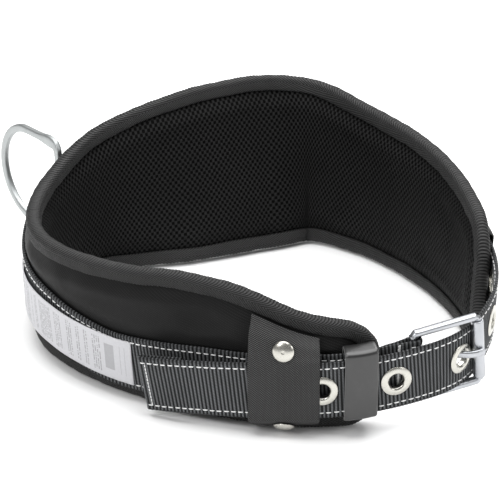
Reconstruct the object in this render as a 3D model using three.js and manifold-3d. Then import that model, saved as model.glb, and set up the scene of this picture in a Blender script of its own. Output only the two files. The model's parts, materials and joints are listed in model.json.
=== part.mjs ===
// Padded work belt, buckled up and standing on its lower edge. Millimetres, +Z up, the buckle at the front (-Y).
// "Along" is the arc length round the belt from the buckle's heel bar: front, wearer's left, back, right.
// "Out" is measured from the pad's outer face, "up" from the belt's centre line.
import * as THREE from "three";
import { mergeVertices } from "three/addons/utils/BufferGeometryUtils.js";
import Module from "manifold-3d";

// The loop: plan position, height of the belt's centre line, outward lean in degrees.
const loopPoints = [
  [114, -268, 47, 2], [70, -280, 43, 2], [28, -281, 40, 2], [-30, -266, 35, 4], [-85, -237, 29, 6],
  [-130, -199, 28, 6], [-156, -158, 30, 4], [-163, -113, 37, 2], [-153, -64, 47, 2], [-121, -26, 55, 6],
  [-52, -2, 60, 13], [8, 22, 63, 14], [48, 33, 63, 12], [96, 0, 62, 5], [140, -55, 61, 4],
  [165, -112, 59, 3], [175, -166, 56, 3], [170, -212, 53, 3], [152, -246, 49, 2],
];

const webWidth = 44.45; // 1 3/4 inch webbing
const webThick = 2.4;
const webHalf = webWidth / 2;
const gap = 0.4; // clearance between neighbouring pieces
const eyeletProud = 1.3; // of the strap's face

const padStart = 22; // along
const padEnd = 890;
const padHalf = 5.4; // half of the foam's thickness
const skinThick = 1.2;
const padMid = -(padHalf + skinThick + gap); // out
const bindingWidth = 11.5;
const bindingThick = 1.3;
// Height of the pad's top edge over the centre line, against distance from its front tip.
const padTop = [[0, 35], [30, 43], [60, 51], [82, 63], [105, 74], [150, 82], [215, 78], [300, 68], [385, 50],
  [415, 52], [445, 58], [480, 66], [520, 72], [585, 71], [622, 63], [655, 59], [720, 56], [790, 50],
  [868, 40]];
const tipRound = 27;
const endRound = 32;

const wrapAlong = [67.5, 114.5];
const wrapThick = 1.1;
const wrapSlack = 1.55; // between the inner ply and the strap that it crosses
const keeperWidth = 22;
const keeperAlong = 40.5;
const keeperRoom = 6.75; // over the strap's width
const keeperThick = 1.9;
const keeperTall = webWidth + keeperRoom + 2 * keeperThick;
const labelAlong = [206, 345];
const labelTall = 36;
const labelThick = 0.6;
const labelUp = [[204, 3.5], [230, 5.5], [255, 8], [285, 10.5], [320, 10.5], [345, 10]];

const grommetPitch = 49.8;
const grommetFirst = 66; // along, the one nearest the tail's end
const grommetCount = 5;
const grommetOuter = 11.1; // radii
const grommetHole = 5.75;
const snapRadius = 7.8;

const heelAlong = 0;
const heelOut = 2.95;
const barRadius = 2.5;
const rollerRadius = 4.5;
const rollerRoom = 1.9; // along, between roller's middle and the tongue's eyelet
const tongueAlong = grommetFirst - 2 * grommetPitch; // the third eyelet is in use
const rollerAlong = tongueAlong - grommetOuter - rollerRoom;
const strapAtRoller = 3.8; // out
const rollerOut = strapAtRoller + webThick / 2 + gap + rollerRadius;
const frameRoom = 4.075; // from the strap's edge to the middle of a side bar
const frameHalf = webHalf + frameRoom;

const ringAlong = 441;
const strapLift = 11.7; // of the strap over the centre line at the ring
const ringLift = 18.7;
const ringOut = 4.1; // the ring's straight bar, between pad and strap
const ringSwing = -13; // degrees round that bar
const ringRod = 3.2;
const ringHalf = webHalf + 14.575; // half height of the ring's middle line
const ringReach = 77;

const tailTip = 190; // along

const { Manifold, Mesh: RawMesh } = await loadManifold();
async function loadManifold() {
  const wasm = await Module();
  wasm.setup();
  return wasm;
}

const V = (x, y, z) => new THREE.Vector3(x, y, z);
const rad = THREE.MathUtils.degToRad;

// The value of a table of [position, value] at s, its corners eased over a distance of w.
function read(table, s, w = 8) {
  const at = (q) => {
    const k = table.findIndex(([p]) => p > q);
    if (k === 0) return table[0][1];
    if (k < 0) return table[table.length - 1][1];
    const [[p0, v0], [p1, v1]] = [table[k - 1], table[k]];
    return v0 + ((v1 - v0) * (q - p0)) / (p1 - p0);
  };
  return [-1, -0.5, 0, 0.5, 1].reduce((sum, k) => sum + at(s + k * w) / 5, 0);
}

// The loop as a table of arc length, built once.
const plan = new THREE.CatmullRomCurve3(loopPoints.map(([x, y]) => V(x, y, 0)), true, "centripetal");
const rise = new THREE.CatmullRomCurve3(loopPoints.map(([, , z, lean]) => V(z, lean, 0)), true, "catmullrom", 0.5);
const tableSize = 1900;
const arc = [0];
for (let i = 1; i <= tableSize; i++)
  arc.push(arc[i - 1] + plan.getPoint((i - 1) / tableSize).distanceTo(plan.getPoint((i % tableSize) / tableSize)));
const loopLength = arc[tableSize];

function parameterAt(s) {
  const q = ((s % loopLength) + loopLength) % loopLength;
  let low = 0, high = tableSize;
  while (high - low > 1) {
    const middle = (low + high) >> 1;
    if (arc[middle] <= q) low = middle;
    else high = middle;
  }
  return (low + (q - arc[low]) / (arc[high] - arc[low])) / tableSize;
}

// Origin, outward and up directions of the belt at s.
function frameAt(s) {
  const t = parameterAt(s), step = 0.0015;
  const flat = plan.getPoint(t), { x: z, y: lean } = rise.getPoint(t);
  const before = plan.getPoint((t + 1 - step) % 1), after = plan.getPoint((t + step) % 1);
  const forward = after.sub(before).setZ(0).normalize();
  const level = V(forward.y, -forward.x, 0).negate();
  const a = rad(lean);
  return {
    origin: V(flat.x, flat.y, z),
    out: level.clone().multiplyScalar(Math.cos(a)).add(V(0, 0, -Math.sin(a))),
    up: level.clone().multiplyScalar(Math.sin(a)).add(V(0, 0, Math.cos(a))),
    forward,
  };
}

function place(s, out, up) {
  const f = frameAt(s);
  return f.origin.addScaledVector(f.out, out).addScaledVector(f.up, up);
}

// A closed geometry from points and faces, turned so that it faces out.
function closed(points, faces) {
  let volume = 0;
  for (const [a, b, c] of faces) volume += points[a].dot(points[b].clone().cross(points[c]));
  const g = new THREE.BufferGeometry().setFromPoints(points);
  g.setIndex(faces.flatMap(([a, b, c]) => (volume < 0 ? [a, c, b] : [a, b, c])));
  return g;
}

// Rings of equally many points, joined in order; the ends are closed by fans unless the rings meet.
function loft(rings, endless = false) {
  const n = rings[0].length, count = rings.length, faces = [];
  for (let i = 0; i < (endless ? count : count - 1); i++)
    for (let j = 0; j < n; j++) {
      const k = (i + 1) % count, m = (j + 1) % n;
      faces.push([i * n + j, k * n + j, k * n + m], [i * n + j, k * n + m, i * n + m]);
    }
  if (!endless)
    for (let j = 1; j < n - 1; j++) {
      const last = (count - 1) * n;
      faces.push([0, j, j + 1], [last, last + j + 1, last + j]);
    }
  return closed(rings.flat(), faces);
}

// A flat band through stations of {at, up}, square to its own run.
function band(stations, width, thick) {
  return loft(stations.map(({ at, up }, i) => {
    const a = stations[Math.max(i - 1, 0)].at, b = stations[Math.min(i + 1, stations.length - 1)].at;
    const run = b.clone().sub(a).normalize();
    const across = up.clone().addScaledVector(run, -up.dot(run)).normalize();
    const face = across.clone().cross(run);
    const corner = (x, y) => at.clone().addScaledVector(face, (x * thick) / 2).addScaledVector(across, (y * width) / 2);
    return [corner(-1, -1), corner(1, -1), corner(1, 1), corner(-1, 1)];
  }));
}

const station = (s, out, up) => ({ at: place(s, out, up), up: frameAt(s).up });

// A section of [out, up] points in the plane across the belt, thickened, and run from s0 to s1.
// The section may be a function of s; a looped one joins its last point to its first.
function crossStrip(section, s0, s1, thick, steps = 4, looped = false) {
  const grid = [];
  for (let i = 0; i <= steps; i++) {
    const s = s0 + ((s1 - s0) * i) / steps, list = typeof section === "function" ? section(s) : section;
    const n = list.length, near = (k) => list[looped ? (k + n) % n : Math.min(Math.max(k, 0), n - 1)];
    grid.push(list.map(([o, u], j) => {
      const [o0, u0] = near(j - 1), [o1, u1] = near(j + 1), l = (2 * Math.hypot(o1 - o0, u1 - u0)) / thick;
      return [place(s, o - (u1 - u0) / l, u + (o1 - o0) / l), place(s, o + (u1 - u0) / l, u - (o1 - o0) / l)];
    }));
  }
  return sheetSolid(grid, looped);
}

// A slab from a grid of point pairs, one on each face.
function sheetSolid(grid, looped = false) {
  const rows = grid.length, columns = grid[0].length, points = grid.flat(2), faces = [];
  const id = (i, j, side) => (i * columns + (j % columns)) * 2 + side;
  const quad = (a, b, c, d) => faces.push([a, b, c], [a, c, d]);
  const spans = looped ? columns : columns - 1, last = rows - 1, edge = columns - 1;
  for (let j = 0; j < spans; j++) {
    for (let i = 0; i < last; i++) {
      quad(id(i, j, 0), id(i + 1, j, 0), id(i + 1, j + 1, 0), id(i, j + 1, 0));
      quad(id(i, j, 1), id(i, j + 1, 1), id(i + 1, j + 1, 1), id(i + 1, j, 1));
    }
    quad(id(0, j, 0), id(0, j + 1, 0), id(0, j + 1, 1), id(0, j, 1));
    quad(id(last, j, 0), id(last, j, 1), id(last, j + 1, 1), id(last, j + 1, 0));
  }
  for (let i = 0; i < last && !looped; i++) {
    quad(id(i, 0, 0), id(i, 0, 1), id(i + 1, 0, 1), id(i + 1, 0, 0));
    quad(id(i, edge, 0), id(i + 1, edge, 0), id(i + 1, edge, 1), id(i, edge, 1));
  }
  return closed(points, faces);
}

function toSolid(geometry) {
  const bare = new THREE.BufferGeometry().setAttribute("position", geometry.getAttribute("position"));
  if (geometry.index) bare.setIndex(geometry.index);
  const g = mergeVertices(bare, 1e-3);
  return new Manifold(new RawMesh({
    numProp: 3, vertProperties: g.attributes.position.array, triVerts: new Uint32Array(g.index.array),
  }));
}

function toGeometry(solid) {
  const m = solid.getMesh();
  const g = new THREE.BufferGeometry();
  g.setAttribute("position", new THREE.BufferAttribute(Float32Array.from(m.vertProperties), 3));
  return g.setIndex(new THREE.BufferAttribute(m.triVerts, 1));
}

const cut = (geometry, ...tools) =>
  toGeometry(tools.reduce((solid, tool) => solid.subtract(toSolid(tool)), toSolid(geometry)));
const join = (...pieces) => toGeometry(pieces.map(toSolid).reduce((a, b) => a.add(b)));

// A matrix whose axes are x, y and z, at the given point.
function basis(x, z, at) {
  const y = z.clone().cross(x).normalize();
  return new THREE.Matrix4().makeBasis(y.clone().cross(z).normalize(), y, z).setPosition(at);
}

// ---- pad

const topAt = (s) => read(padTop, s - padStart, 14);
const bottomAt = (s) => {
  const f = frameAt(s);
  return -f.origin.z / f.up.z;
};

// How far the outline, moved in by inset, draws in towards an end whose corners are rounded.
function rounding(s, inset) {
  const drop = (d, r) => (d >= r ? 0 : r - Math.sqrt(Math.max(r * r - (r - d) ** 2, 0)));
  return inset + drop(s - padStart - inset, tipRound - inset) + drop(padEnd - s - inset, endRound - inset);
}
const edgeTop = (s, inset = 0) => topAt(s) - rounding(s, inset);
const edgeBottom = (s, inset = 0) => bottomAt(s) + rounding(s, inset);

// Positions from tip to end, close together near both; the ones between are the same for every inset.
function spaced(inset) {
  const near = [0, 2.6, 7.8, 15, 24, 40].map((d) => inset + d * (1 - inset / 40));
  const list = near.map((d) => padStart + d), between = 40;
  for (let i = 1; i < between; i++) list.push(padStart + 40 + ((padEnd - padStart - 80) * i) / between);
  return list.concat(near.map((d) => padEnd - d).reverse());
}

// The outline, front tip up over the top, down the far end and back along the bottom.
const outlineStations = spaced(0);
const outline = outlineStations.map((s) => [s, edgeTop(s)])
  .concat(outlineStations.slice().reverse().map((s) => [s, edgeBottom(s)]));

function edgeDistance(s, u) {
  let best = Infinity;
  outline.forEach(([s0, u0], i) => {
    const [s1, u1] = outline[(i + 1) % outline.length];
    const l2 = (s1 - s0) ** 2 + (u1 - u0) ** 2;
    const t = l2 ? Math.min(Math.max(((s - s0) * (s1 - s0) + (u - u0) * (u1 - u0)) / l2, 0), 1) : 0;
    best = Math.min(best, Math.hypot(s - s0 - t * (s1 - s0), u - u0 - t * (u1 - u0)));
  });
  return best;
}

// Half of the foam's thickness at a distance from the outline: pinched under the binding, full further in.
function foamHalf(d) {
  if (d <= bindingWidth) return 1.5 + Math.max(d - 4, 0) * 0.05;
  const t = Math.min((d - bindingWidth) / 19, 1);
  return 2.05 + (padHalf - 2.05) * Math.sin((t * Math.PI) / 2);
}

const padInset = 4.6;
function padLayer(inner, outer) {
  return sheetSolid(spaced(padInset).map((s) => {
    const low = edgeBottom(s, padInset), high = edgeTop(s, padInset), tall = high - low;
    const steps = [[0, 0], [6.9, 0.16], [15, 0.3], [28, 0.42]].map(([d, share]) => Math.min(d, share * tall));
    const rows = steps.map((d) => low + d).concat([(low + high) / 2], steps.map((d) => high - d).reverse());
    return rows.map((u) => {
      const half = foamHalf(edgeDistance(s, u));
      return [place(s, inner(half), u), place(s, outer(half), u)];
    });
  }));
}

function padBinding() {
  const lap = bindingWidth, skin = skinThick + gap + 0.6;
  const face = (d, extra) => foamHalf(d) + skin + extra;
  const thick = bindingThick;
  const half = [[lap, face(lap, thick)], [2.2, face(2.2, thick)], [0, face(0, thick) - 2.2]];
  const inside = [[3.6, face(3.6, 0)], [lap, face(lap, 0)]];
  const section = [...half, ...half.slice().reverse().map(([d, o]) => [d, -o]),
    ...inside.slice().reverse().map(([d, o]) => [d, -o]), ...inside];
  return loft(outline.map(([s, u], i) => {
    const [sa, ua] = outline[(i + outline.length - 1) % outline.length], [sb, ub] = outline[(i + 1) % outline.length];
    const l = Math.hypot(sb - sa, ub - ua);
    const [ms, mu] = [(ub - ua) / l, -(sb - sa) / l];
    return section.map(([d, o]) => place(s + ms * d, padMid + o, u + mu * d));
  }), true);
}

// ---- webbing

// How far the strap stands out, and how far over the centre line it runs, by arc length from the heel fold.
const round = loopLength;
const half = webThick / 2;
const onPad = half + 0.5;
const overKeeper = half + 3.1; // the inner layer, over the keeper's back
const overRing = half + ringOut + ringRod + 1.3;
const overHeel = 3 * half + 7.3; // the tail, over the heel fold
const strapOut = [[14, onPad], [22, onPad + 0.9], [28, overKeeper], [60, overKeeper], [72, onPad],
  [ringAlong - 35, onPad], [ringAlong - 21, onPad + 3.1], [ringAlong - 17.5, overRing - 0.9], [ringAlong - 11, overRing],
  [ringAlong + 10, overRing], [ringAlong + 16, overRing - 0.9], [ringAlong + 21, onPad + 3.1], [ringAlong + 35, onPad],
  [round - 80, onPad], [round - 62, onPad + 0.5], [round - 50, onPad + 1.5],
  [round - 41, onPad + 3.5], [round - 33, onPad + 5.6], [round - 24, onPad + 7.6], [round - 12, overHeel],
  [round, overHeel], [round + 110, overHeel], [round + 146, overHeel + 1.3], [round + tailTip, overHeel + 4.6]];
const strapUp = [[14, 0], [104, 0], [150, 3.5], [225, 3.5], [255, 8], [290, 14], [330, 16.5], [385, 13],
  [ringAlong - 9, strapLift], [ringAlong + 15, strapLift], [540, 5], [592, 0],
  [round - 60, -1.2], [round - 25, -1.7],
  [round + 12, -3], [round + 50, -2.5], [round + 100, -1.2], [round + tailTip, -1.5]];
const strapTwist = [[round + 112, 0], [round + tailTip, 2]]; // top edge leaning out, degrees
const strapAt = (s) => {
  const f = frameAt(s), twist = rad(read(strapTwist, s, 6));
  const up = f.up.clone().multiplyScalar(Math.cos(twist)).addScaledVector(f.out, Math.sin(twist));
  return { at: place(s, read(strapOut, s, 3), read(strapUp, s, 10)), up };
};

// Centre, run and face of the strap at s, for what is fixed to it.
function onStrap(s) {
  const here = strapAt(s), run = strapAt(s + 2).at.sub(strapAt(s - 2).at).normalize();
  const across = here.up.clone().addScaledVector(run, -here.up.dot(run)).normalize();
  return { at: here.at, run, across, face: run.clone().cross(across).negate() };
}

const grommetSpots = Array.from({ length: grommetCount }, (_, i) => round + grommetFirst - i * grommetPitch);

function mainStrap() {
  const heel = (s, out) => station(heelAlong + s, out, 0);
  const fold = barRadius + gap + 0.1 + half;
  const list = [heel(25, 4.5), heel(14, 4.6), heel(8, 5.8)];
  for (let a = 65; a <= 300; a += 29.4)
    list.push(heel(Math.cos(rad(a)) * fold, heelOut + Math.sin(rad(a)) * fold));
  list.push(heel(8, 0.6));
  const stops = [14, 20, 26, 34, 46, 60, 72];
  for (let s = 88; s < ringAlong - 41; s += 15) stops.push(s);
  for (const d of [-35, -26, -20, -14, -8, -2, 4, 10, 16, 22, 35]) stops.push(ringAlong + d);
  for (let s = ringAlong + 41; s < round - 90; s += 15) stops.push(s);
  for (const d of [-88, -76, -66, -58, -50, -43, -37, -31, -24, -14, -4, 8, 22, 36, 52, 68, 84, 100, 116, 132, 146, 160, 172])
    stops.push(round + d);
  stops.push(round + tailTip - 8);
  stops.forEach((s) => list.push(strapAt(s)));
  const tip = onStrap(round + tailTip), turn = webThick / 2 + 0.25;
  const back = (along, out) => ({
    at: tip.at.clone().addScaledVector(tip.run, along).addScaledVector(tip.face, out), up: tip.across,
  });
  for (let a = 0; a <= 180; a += 45)
    list.push(back(Math.sin(rad(a)) * turn - turn, Math.cos(rad(a)) * turn - turn));
  for (const s of [8, 20, 31]) {
    const here = onStrap(round + tailTip - s);
    list.push({ at: here.at.clone().addScaledVector(here.face, -2 * turn), up: here.across });
  }
  const disc = (r, from, to, f) => new THREE.CylinderGeometry(r, r, to - from, 20).translate(0, (from + to) / 2, 0)
    .applyMatrix4(basis(f.run, f.face, f.at).multiply(new THREE.Matrix4().makeRotationX(Math.PI / 2)));
  const holes = grommetSpots.flatMap((s) => [
    disc(grommetHole + 1.2, -5, 5, onStrap(s)),
    disc(grommetOuter + 0.2, half + 0.1, half + 2, onStrap(s)),
    disc(grommetOuter + 0.2, -half - 2, -half - 0.1, onStrap(s)),
  ]);
  const slotFrame = frameAt(heelAlong);
  const slot = new THREE.BoxGeometry(17, 16, 11)
    .applyMatrix4(basis(slotFrame.forward, slotFrame.up, place(heelAlong - 0.5, heelOut, 0)));
  return cut(band(list, webWidth, webThick), slot, ...holes);
}

// A turned piece: profile of [radius, height] points round the face normal of a frame.
function turned(profile, f, segments = 22) {
  const g = new THREE.LatheGeometry(profile.map(([r, h]) => new THREE.Vector2(r, h)), segments);
  g.applyMatrix4(basis(f.run, f.face, f.at).multiply(new THREE.Matrix4().makeRotationX(Math.PI / 2)));
  const solid = toSolid(g);
  return solid.volume() < 0 ? flipped(g) : toGeometry(solid);
}

function flipped(geometry) {
  const g = mergeVertices(new THREE.BufferGeometry().setAttribute("position", geometry.getAttribute("position"))
    .setIndex(geometry.index), 1e-3);
  const ids = g.index.array;
  for (let i = 0; i < ids.length; i += 3) [ids[i + 1], ids[i + 2]] = [ids[i + 2], ids[i + 1]];
  return g;
}

const eyelet = [[grommetHole, -half - 1], [grommetHole + 0.7, -half - 1], [grommetHole + 0.7, half + 0.2],
  [grommetOuter, half + 0.2], [grommetOuter - 0.3, half + 0.6], [grommetOuter - 2.4, half + eyeletProud],
  [grommetHole + 1.2, half + 1.1], [grommetHole, half + 0.2], [grommetHole, -half - 1]];
const washer = [[grommetHole + 1.1, -half - 0.2], [grommetHole + 1.1, -half - 0.9], [grommetOuter - 1.4, -half - 1.1],
  [grommetOuter - 0.3, -half - 0.2], [grommetHole + 1.1, -half - 0.2]];

// ---- wrap with its two snaps

const wrapMiddle = (wrapAlong[0] + wrapAlong[1]) / 2;
const wrapTop = (s) => edgeTop(s) - bindingWidth - 1.2;
const innerOut = onPad + half + wrapSlack + wrapThick / 2;
const outerOut = overHeel + half + eyeletProud + (wrapThick + 1.1) / 2;
const innerPly = (s) => [[1, Math.max(wrapTop(s) - 9, webHalf + 7)], [1.9, Math.max(wrapTop(s) - 11.5, webHalf + 4.5)],
  [innerOut - 0.4, webHalf + 2.4],
  [innerOut, webHalf - 0.2], [innerOut, 0.2 - webHalf], [innerOut - 1.4, -webHalf - 3.8], [0.8, -webHalf - 8.3]];
const outerPly = (s) => [[0, 1], [0.12, 2.6], [0.3, outerOut - 6.5], [0.45, outerOut - 4.5], [0.75, outerOut - 2.5],
  [1, outerOut - 0.7]].map(([t, out]) => [out, wrapTop(s) - t * (wrapTop(s) - webHalf + 1.2)])
  .concat([[outerOut, 8], [outerOut, 2.2 - webHalf], [outerOut - 0.9, -webHalf - 2.7], [outerOut - 6.9, -webHalf - 7.6],
    [1.8, -webHalf - 12.4]]);
const upperSnap = { out: outerOut - 3.1, up: webHalf + 8.8, tilt: -13 };
const lowerSnap = { out: outerOut - 6.3, up: -webHalf - 8.2, tilt: 49 };
const upperStud = { out: innerOut - 1.1, up: webHalf + 7.8, tilt: -13 };
const lowerStud = { out: innerOut - 2.1, up: -webHalf - 6.4, tilt: 32 };

function snapFrame({ out, up, tilt }) {
  const f = frameAt(wrapMiddle);
  const face = f.out.clone().multiplyScalar(Math.cos(rad(tilt))).addScaledVector(f.up, -Math.sin(rad(tilt)));
  return { at: place(wrapMiddle, out, up), run: f.forward, face };
}

// ---- build

const nodes = [];
const looks = {
  nylon: { color: 0x2c2c30, roughness: 0.85 }, mesh: { color: 0x18181b, roughness: 0.95 },
  tape: { color: 0x1e1e22, roughness: 0.9 }, webbing: { color: 0x333338, roughness: 0.9 },
  foam: { color: 0x55565a, roughness: 1 }, leather: { color: 0x2a2a2e, roughness: 0.45 },
  steel: { color: 0xc6c9cc, roughness: 0.3, metalness: 1 }, nickel: { color: 0xdedbd2, roughness: 0.2, metalness: 1 },
  paper: { color: 0xe2e2e6, roughness: 0.7 },
};
function add(name, geometry, look) {
  const mesh = new THREE.Mesh(geometry, new THREE.MeshStandardMaterial(looks[look]));
  mesh.name = name;
  nodes.push(mesh);
}

const skin = skinThick + gap / 2;
add("pad_foam", padLayer((h) => padMid - h, (h) => padMid + h), "foam");
add("pad_lining", padLayer((h) => padMid - h - skin, (h) => padMid - h - gap / 2), "mesh");
add("pad_shell", padLayer((h) => padMid + h + gap / 2, (h) => padMid + h + skin), "nylon");
add("pad_binding", padBinding(), "tape");
add("main_strap", mainStrap(), "webbing");

grommetSpots.forEach((s, i) => {
  add(`grommet_${i + 1}`, turned(eyelet, onStrap(s)), "nickel");
  add(`grommet_washer_${i + 1}`, turned(washer, onStrap(s)), "nickel");
});

const labelOut = onPad + half + (labelThick + 0.6) / 2;
const labelStations = Array.from({ length: 12 }, (_, i) => labelAlong[0] + ((labelAlong[1] - labelAlong[0]) * i) / 11);
add("care_label", band(labelStations.map((s) =>
  station(s, labelOut + 2 * Math.sin((Math.PI * (s - labelAlong[0])) / (labelAlong[1] - labelAlong[0])),
    read(labelUp, s, 6))), labelTall, labelThick), "paper");

const sleeveOut = onPad + half + gap + wrapThick / 2 + 0.15;
const sleeve = [[0.95, webHalf + 4.8], [sleeveOut - 0.1, webHalf + 3], [sleeveOut, webHalf - 2.2], [sleeveOut, 2.2 - webHalf],
  [sleeveOut - 0.1, -webHalf - 3], [0.95, -webHalf - 4.8]];
add("back_sleeve", crossStrip(sleeve, 600, 660, wrapThick, 7), "nylon");
add("side_sleeve", crossStrip(sleeve, 826, 866, wrapThick, 4), "nylon");
add("wrap_inner_ply", crossStrip(innerPly, wrapAlong[0] + 11, wrapAlong[1] - 2, wrapThick), "nylon");

const snapPin = (spot) => {
  const f = snapFrame(spot);
  return new THREE.CylinderGeometry(1.7, 1.7, 6, 16)
    .applyMatrix4(basis(f.run, f.face, f.at).multiply(new THREE.Matrix4().makeRotationX(Math.PI / 2)));
};
add("wrap_flap", cut(crossStrip(outerPly, ...wrapAlong, wrapThick), snapPin(upperSnap), snapPin(lowerSnap)), "nylon");

const cap = [[0, -0.9], [1.3, -0.9], [1.3, 0.85], [snapRadius, 0.85], [snapRadius, 1.3], [snapRadius - 1.2, 2.4],
  [snapRadius - 4, 3.3], [0, 3.7]];
for (const [name, spot] of [["upper", upperSnap], ["lower", lowerSnap]])
  add(`snap_cap_${name}`, turned(cap, snapFrame(spot)), "nickel");

const stud = [[0, 0], [4.4, 0], [4.4, 0.7], [2.7, 1.1], [2.7, 3], [2.3, 3.4], [0, 3.4]];
add("snap_stud_upper", turned(stud, snapFrame(upperStud)), "nickel");
add("snap_stud_lower", turned(stud.map(([r, h]) => [r, h * 0.6]), snapFrame(lowerStud)), "nickel");

// ---- keeper

const keeperBack = overKeeper - half - gap - keeperThick / 2 - 0.4;
const keeperFront = overHeel + half + eyeletProud + (keeperThick + 1.1) / 2;
const keeperLow = -webHalf - 4.2, keeperHigh = keeperLow + keeperTall - keeperThick;
const bend = 2.6;
const keeperRing = [[keeperBack, keeperLow + bend], [keeperBack + bend, keeperLow], [keeperFront - bend, keeperLow],
  [keeperFront - 0.8, keeperLow + 0.8], [keeperFront, keeperLow + bend], [keeperFront + 0.5, 0],
  [keeperFront, keeperHigh - bend], [keeperFront - 0.8, keeperHigh - 0.8], [keeperFront - bend, keeperHigh],
  [keeperBack + bend, keeperHigh], [keeperBack, keeperHigh - bend], [keeperBack, 0]];
add("keeper_loop", crossStrip(keeperRing, keeperAlong - keeperWidth / 2, keeperAlong + keeperWidth / 2,
  keeperThick, 3, true), "leather");

// ---- buckle: x from heel bar to roller, z up, y towards the wearer

const heelPoint = place(heelAlong, heelOut, -0.6), rollerPoint = place(rollerAlong, rollerOut, 1.6);
const buckleReach = heelPoint.distanceTo(rollerPoint);
const buckle = basis(rollerPoint.clone().sub(heelPoint).normalize(), frameAt(rollerAlong / 2).up, heelPoint);
const upright = (r, tall, x, hole = 0) => {
  const ring = new THREE.Shape().absarc(0, 0, r, 0, Math.PI * 2);
  if (hole) ring.holes.push(new THREE.Path().absarc(0, 0, hole, 0, Math.PI * 2, true));
  return new THREE.ExtrudeGeometry(ring, { depth: tall, bevelEnabled: false, curveSegments: 9 })
    .translate(x, 0, -tall / 2);
};
function sideBar(z) {
  const r = 3.1, from = -0.6, to = buckleReach + 0.6;
  const outlineShape = new THREE.Shape().absarc(to, 0, r, -Math.PI / 2, Math.PI / 2)
    .absarc(from, 0, r, Math.PI / 2, (Math.PI * 3) / 2);
  return new THREE.ExtrudeGeometry(outlineShape, {
    depth: 3.6, bevelSize: 0.7, bevelThickness: 0.7, bevelSegments: 2, curveSegments: 5,
  }).translate(0, 0, z - 1.8);
}
add("buckle_frame", join(sideBar(frameHalf), sideBar(-frameHalf), upright(barRadius, 2 * frameHalf, 0),
  upright(barRadius + 0.2, 2 * frameHalf, buckleReach)).applyMatrix4(buckle), "steel");
add("buckle_roller", upright(rollerRadius, 2 * frameHalf - 6.2, buckleReach, barRadius + 0.5).applyMatrix4(buckle), "steel");

const tongueHalf = 1.65, tongueWide = 5.4;
const overRoller = rollerRadius + gap + tongueHalf - 0.05;
// The tongue's middle line, [along the buckle, out]: under the strap, up through the eyelet and over the roller.
const tongueLine = [[3.6, -0.6], [9, -2], [16, -3], [22, -3.2], [27, -2.2], [31, -0.5], [34, 1], [37, 2.9], [40, 4.8],
  [43, 6], [buckleReach - 3.7, overRoller], [buckleReach - 0.3, overRoller - 0.2], [buckleReach + 2.3, overRoller - 0.6]];
function tongue() {
  const side = (sign) => tongueLine.map(([x, w], i) => {
    const [x0, w0] = tongueLine[Math.max(i - 1, 0)], [x1, w1] = tongueLine[Math.min(i + 1, tongueLine.length - 1)];
    const l = Math.hypot(x1 - x0, w1 - w0), h = (i === tongueLine.length - 1 ? 0.7 : tongueHalf) * sign;
    return new THREE.Vector2(x - ((w1 - w0) / l) * h, -(w + ((x1 - x0) / l) * h));
  });
  const arm = new THREE.ExtrudeGeometry(new THREE.Shape([...side(1), ...side(-1).reverse()]),
    { depth: tongueWide - 1, bevelSize: 0.4, bevelOffset: -0.4, bevelThickness: 0.5, bevelSegments: 1 })
    .translate(0, 0, -tongueWide / 2 + 0.5);
  return join(cut(arm, upright(3.4, 20, 0)), upright(4.9, tongueWide, 0, barRadius + 0.4));
}
add("buckle_tongue", tongue().applyMatrix4(buckle), "steel");

// ---- D-ring: x out, z up along its bar

const ringFrame = frameAt(ringAlong);
const ring = basis(ringFrame.out.clone().applyAxisAngle(ringFrame.up, rad(ringSwing)), ringFrame.up,
  place(ringAlong, ringOut, ringLift));
const bowCentre = ringReach - ringHalf;
const ringLine = [[0, -30], [0, -16], [0, 0], [0, 16], [0, 30], [1.9, ringHalf - 2], [7, ringHalf], [bowCentre - 2, ringHalf]];
for (let a = 75; a >= -75; a -= 18.75)
  ringLine.push([bowCentre + Math.cos(rad(a)) * ringHalf, Math.sin(rad(a)) * ringHalf]);
ringLine.push([bowCentre - 2, -ringHalf], [7, -ringHalf], [1.9, 2 - ringHalf]);
const ringCurve = new THREE.CatmullRomCurve3(ringLine.map(([x, z]) => V(x, 0, z)), true, "centripetal");
add("d_ring", new THREE.TubeGeometry(ringCurve, 60, ringRod, 10, true).applyMatrix4(ring), "steel");

// The finished belt stands on z = 0 with the middle of its box over the origin.
const whole = new THREE.Box3();
nodes.forEach((mesh) => whole.expandByObject(mesh));
const shift = V(-(whole.min.x + whole.max.x) / 2, -(whole.min.y + whole.max.y) / 2, -whole.min.z);
const group = new THREE.Group();
nodes.forEach((mesh) => group.add(mesh));
nodes.forEach((mesh) => mesh.geometry.translate(shift.x, shift.y, shift.z));
export default group;
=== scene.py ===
import math

import bpy
import numpy as np
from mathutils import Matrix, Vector
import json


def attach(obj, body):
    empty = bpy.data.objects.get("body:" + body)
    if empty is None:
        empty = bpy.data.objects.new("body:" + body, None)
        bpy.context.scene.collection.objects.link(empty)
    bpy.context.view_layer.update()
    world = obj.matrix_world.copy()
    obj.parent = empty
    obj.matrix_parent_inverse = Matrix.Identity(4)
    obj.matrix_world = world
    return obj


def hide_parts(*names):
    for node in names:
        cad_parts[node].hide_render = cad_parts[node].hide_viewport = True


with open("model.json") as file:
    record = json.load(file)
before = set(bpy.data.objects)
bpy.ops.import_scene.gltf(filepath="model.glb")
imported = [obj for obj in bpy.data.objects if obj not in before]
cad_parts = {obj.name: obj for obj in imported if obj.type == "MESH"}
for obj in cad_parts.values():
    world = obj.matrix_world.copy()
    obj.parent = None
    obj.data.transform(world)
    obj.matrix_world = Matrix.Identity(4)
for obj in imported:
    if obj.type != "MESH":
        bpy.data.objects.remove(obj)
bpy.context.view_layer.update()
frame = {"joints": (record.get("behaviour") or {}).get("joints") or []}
joints = {joint["name"]: joint for joint in frame["joints"]}
mm = 0.001

# Everything is placed by its way along the belt's loop, out from the pad's face, and up.

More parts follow.
